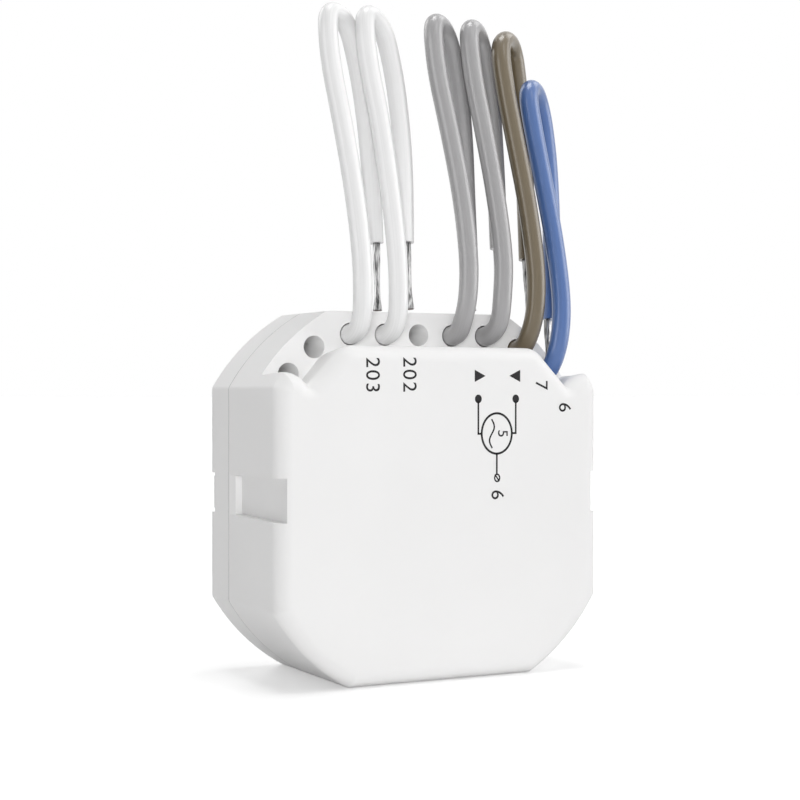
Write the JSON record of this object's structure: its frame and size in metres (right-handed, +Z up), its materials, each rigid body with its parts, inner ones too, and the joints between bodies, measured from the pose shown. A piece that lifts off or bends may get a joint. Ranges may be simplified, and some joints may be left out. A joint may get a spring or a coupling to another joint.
{
  "type": "roller shutter controller",
  "caption": "Flush-mounted roller shutter controller: a light grey corner-cut housing with wire pigtails leaving a recess at the top, and relays on a board inside.",
  "frame": {"origin": "middle of the housing's base, on the surface it stands on in the picture", "axes": "+Z up towards the wires, +Y from the printed front face to the rear cover, +X to the right seen from the front"},
  "size_m": [0.0477, 0.0228, 0.0895],
  "materials": {
    "housing_plastic": "light grey moulded plastic, fine matt grain",
    "board_laminate": "green solder resist on glass laminate, semi-matt",
    "relay_case_plastic": "blue moulded plastic, semi-gloss",
    "dark_plastic": "black moulded plastic, matt",
    "bobbin_plastic": "natural nylon, matt",
    "copper_winding": "enamelled copper wire, glossy",
    "soft_iron": "nickel-plated soft iron, satin",
    "contact_brass": "copper alloy spring strip with silvery contacts",
    "tinned_metal": "tinned copper and solder, bright satin",
    "shield_steel": "tinned sheet steel, satin",
    "varistor_coating": "blue dipped coating, glossy",
    "film_capacitor_case": "yellow moulded case, semi-gloss",
    "capacitor_sleeve": "dark shrink sleeve, glossy",
    "ferrite": "dark grey ferrite, matt",
    "plunger_plastic": "white moulded plastic, matt",
    "led_resin": "clear resin over a pale base",
    "wire_white": "white wire insulation, semi-matt",
    "wire_grey": "grey wire insulation, semi-matt",
    "wire_brown": "brown wire insulation, semi-matt",
    "wire_blue": "blue wire insulation, semi-matt",
    "tail_insulation": "wire insulation inside the housing"
  },
  "bodies": {
    "housing": {"front_shell": "housing_plastic", "rear_cover": "housing_plastic", "main_board": "board_laminate", "radio_board": "board_laminate", "relay_1_case": "relay_case_plastic", "relay_2_case": "relay_case_plastic", "relay_1_base": "dark_plastic", "relay_2_base": "dark_plastic", "fuse": "dark_plastic", "rectifier": "dark_plastic", "supply_chip": "dark_plastic", "control_chip": "dark_plastic", "button_body": "dark_plastic", "relay_1_bobbin": "bobbin_plastic", "relay_2_bobbin": "bobbin_plastic", "relay_1_winding": "copper_winding", "relay_2_winding": "copper_winding", "inductor_winding": "copper_winding", "radio_aerial": "copper_winding", "relay_1_yoke": "soft_iron", "relay_2_yoke": "soft_iron", "relay_1_fixed_contact": "contact_brass", "relay_2_fixed_contact": "contact_brass", "tail_conductors": "tinned_metal", "solder_joints": "tinned_metal", "tip_white_1": "tinned_metal", "tip_white_2": "tinned_metal", "tip_grey_1": "tinned_metal", "tip_grey_2": "tinned_metal", "tip_brown": "tinned_metal", "tip_blue": "tinned_metal", "radio_shield": "shield_steel", "varistor": "varistor_coating", "film_capacitor": "film_capacitor_case", "bulk_capacitor": "capacitor_sleeve", "output_capacitor": "capacitor_sleeve", "inductor_core": "ferrite", "status_led": "led_resin", "wire_white_1": "wire_white", "wire_white_2": "wire_white", "wire_grey_1": "wire_grey", "wire_grey_2": "wire_grey", "wire_brown": "wire_brown", "wire_blue": "wire_blue", "wire_tails": "tail_insulation"},
    "relay_1_arm": {"relay_1_armature": "soft_iron", "relay_1_contact_blade": "contact_brass"},
    "relay_2_arm": {"relay_2_armature": "soft_iron", "relay_2_contact_blade": "contact_brass"},
    "button": {"button_plunger": "plunger_plastic"}
  },
  "joints": [
    {"name": "relay_1_hinge", "type": "hinge", "parent": "housing", "child": "relay_1_arm", "pos_m": [0.0052, -0.0056, 0.0243], "axis": [-1, 0, 0], "range_deg": [0, 3.8], "stiffness_Nm_per_rad": 0.02, "springref_deg": -1.15},
    {"name": "relay_2_hinge", "type": "hinge", "parent": "housing", "child": "relay_2_arm", "pos_m": [0.0157, -0.0056, 0.0243], "axis": [-1, 0, 0], "range_deg": [0, 3.8], "stiffness_Nm_per_rad": 0.02, "springref_deg": -1.15},
    {"name": "button_press", "type": "slide", "parent": "housing", "child": "button", "axis": [0, 1, 0], "range_m": [0, 0.00025], "stiffness_N_per_m": 800}
  ]
}
